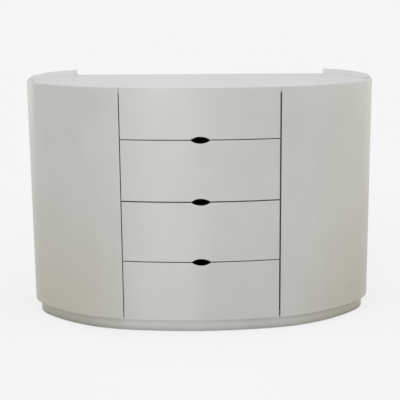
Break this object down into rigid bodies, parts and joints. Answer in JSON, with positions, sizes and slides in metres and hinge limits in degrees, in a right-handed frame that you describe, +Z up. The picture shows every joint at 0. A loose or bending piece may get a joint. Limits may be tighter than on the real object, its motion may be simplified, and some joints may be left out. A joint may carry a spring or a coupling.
{
  "type": "dresser",
  "caption": "Bow-fronted lacquered dresser: a stack of drawers with lens-shaped finger cut-outs between curved doors, on a recessed plinth, with raised curved wings at the rear corners.",
  "frame": {"origin": "on the floor, in the middle of the overall width and depth", "axes": "+X to the right as seen from the front, -Y out of the front, +Z up"},
  "size_m": [1.3156, 0.486, 0.9194],
  "materials": {
    "lacquer": "smooth semi-gloss off-white lacquer on board",
    "plinth_lacquer": "satin off-white lacquer on board",
    "interior_board": "matt white melamine-faced board",
    "drawer_box": "clear-sealed birch plywood",
    "dowel_beech": "plain turned beech",
    "drawer_floor": "white-faced thin board",
    "back_board": "white-faced thin board",
    "runner_steel": "zinc-plated rolled steel",
    "hinge_steel": "nickel-plated steel",
    "fastener_steel": "zinc-plated steel",
    "latch_plastic": "grey moulded plastic",
    "glide_plastic": "dark moulded plastic"
  },
  "bodies": {
    "carcass": {"top_panel": "lacquer", "gap_strips": "lacquer", "bottom_panel": "interior_board", "partition_left": "interior_board", "partition_right": "interior_board", "side_shell_left": "lacquer", "side_shell_right": "lacquer", "shelf_left": "interior_board", "shelf_right": "interior_board", "shelf_pins": "fastener_steel", "back_panel": "back_board", "back_panel_screws": "fastener_steel", "plinth_band": "plinth_lacquer", "plinth_back_rail": "plinth_lacquer", "glides": "glide_plastic", "runner_cabinet_members": "runner_steel", "hinge_leaves_fixed": "hinge_steel", "hinge_pins": "hinge_steel", "latch_housings": "latch_plastic", "partition_dowels": "dowel_beech"},
    "drawer_1": {"drawer_1_front": "lacquer", "drawer_1_box_left": "drawer_box", "drawer_1_box_right": "drawer_box", "drawer_1_box_front": "drawer_box", "drawer_1_box_back": "drawer_box", "drawer_1_box_floor": "drawer_floor", "drawer_1_runner_inner": "runner_steel"},
    "runner_1": {"drawer_1_runner_middle": "runner_steel"},
    "drawer_2": {"drawer_2_front": "lacquer", "drawer_2_box_left": "drawer_box", "drawer_2_box_right": "drawer_box", "drawer_2_box_front": "drawer_box", "drawer_2_box_back": "drawer_box", "drawer_2_box_floor": "drawer_floor", "drawer_2_runner_inner": "runner_steel"},
    "runner_2": {"drawer_2_runner_middle": "runner_steel"},
    "drawer_3": {"drawer_3_front": "lacquer", "drawer_3_box_left": "drawer_box", "drawer_3_box_right": "drawer_box", "drawer_3_box_front": "drawer_box", "drawer_3_box_back": "drawer_box", "drawer_3_box_floor": "drawer_floor", "drawer_3_runner_inner": "runner_steel"},
    "runner_3": {"drawer_3_runner_middle": "runner_steel"},
    "drawer_4": {"drawer_4_front": "lacquer", "drawer_4_box_left": "drawer_box", "drawer_4_box_right": "drawer_box", "drawer_4_box_front": "drawer_box", "drawer_4_box_back": "drawer_box", "drawer_4_box_floor": "drawer_floor", "drawer_4_runner_inner": "runner_steel"},
    "runner_4": {"drawer_4_runner_middle": "runner_steel"},
    "door_left": {"door_left": "lacquer", "door_left_hinge_leaves": "hinge_steel", "door_left_strike": "hinge_steel"},
    "door_right": {"door_right": "lacquer", "door_right_hinge_leaves": "hinge_steel", "door_right_strike": "hinge_steel"},
    "latch_plunger_left": {"latch_plunger_left": "latch_plastic"},
    "latch_plunger_right": {"latch_plunger_right": "latch_plastic"}
  },
  "joints": [
    {"name": "drawer_1_slide", "type": "slide", "parent": "carcass", "child": "drawer_1", "axis": [0, -1, 0], "range_m": [0, 0.38]},
    {"name": "runner_1_slide", "type": "slide", "parent": "carcass", "child": "runner_1", "axis": [0, -1, 0], "range_m": [0, 0.19]},
    {"name": "drawer_2_slide", "type": "slide", "parent": "carcass", "child": "drawer_2", "axis": [0, -1, 0], "range_m": [0, 0.38]},
    {"name": "runner_2_slide", "type": "slide", "parent": "carcass", "child": "runner_2", "axis": [0, -1, 0], "range_m": [0, 0.19]},
    {"name": "drawer_3_slide", "type": "slide", "parent": "carcass", "child": "drawer_3", "axis": [0, -1, 0], "range_m": [0, 0.38]},
    {"name": "runner_3_slide", "type": "slide", "parent": "carcass", "child": "runner_3", "axis": [0, -1, 0], "range_m": [0, 0.19]},
    {"name": "drawer_4_slide", "type": "slide", "parent": "carcass", "child": "drawer_4", "axis": [0, -1, 0], "range_m": [0, 0.38]},
    {"name": "runner_4_slide", "type": "slide", "parent": "carcass", "child": "runner_4", "axis": [0, -1, 0], "range_m": [0, 0.19]},
    {"name": "door_left_hinge", "type": "hinge", "parent": "carcass", "child": "door_left", "pos_m": [-0.65478, 0.0525, 0.475], "axis": [0, 0, -1], "range_deg": [0, 105]},
    {"name": "door_right_hinge", "type": "hinge", "parent": "carcass", "child": "door_right", "pos_m": [0.65478, 0.0525, 0.475], "axis": [0, 0, 1], "range_deg": [0, 105]},
    {"name": "latch_plunger_left_slide", "type": "slide", "parent": "carcass", "child": "latch_plunger_left", "axis": [0.2699, 0.9629, 0], "range_m": [0, 0.003], "stiffness_N_per_m": 300, "springref_m": -0.003},
    {"name": "latch_plunger_right_slide", "type": "slide", "parent": "carcass", "child": "latch_plunger_right", "axis": [-0.2699, 0.9629, 0], "range_m": [0, 0.003], "stiffness_N_per_m": 300, "springref_m": -0.003}
  ],
  "couplings": [
    {"joint": "runner_1_slide", "follows": "drawer_1_slide", "ratio": 0.5},
    {"joint": "runner_2_slide", "follows": "drawer_2_slide", "ratio": 0.5},
    {"joint": "runner_3_slide", "follows": "drawer_3_slide", "ratio": 0.5},
    {"joint": "runner_4_slide", "follows": "drawer_4_slide", "ratio": 0.5}
  ]
}
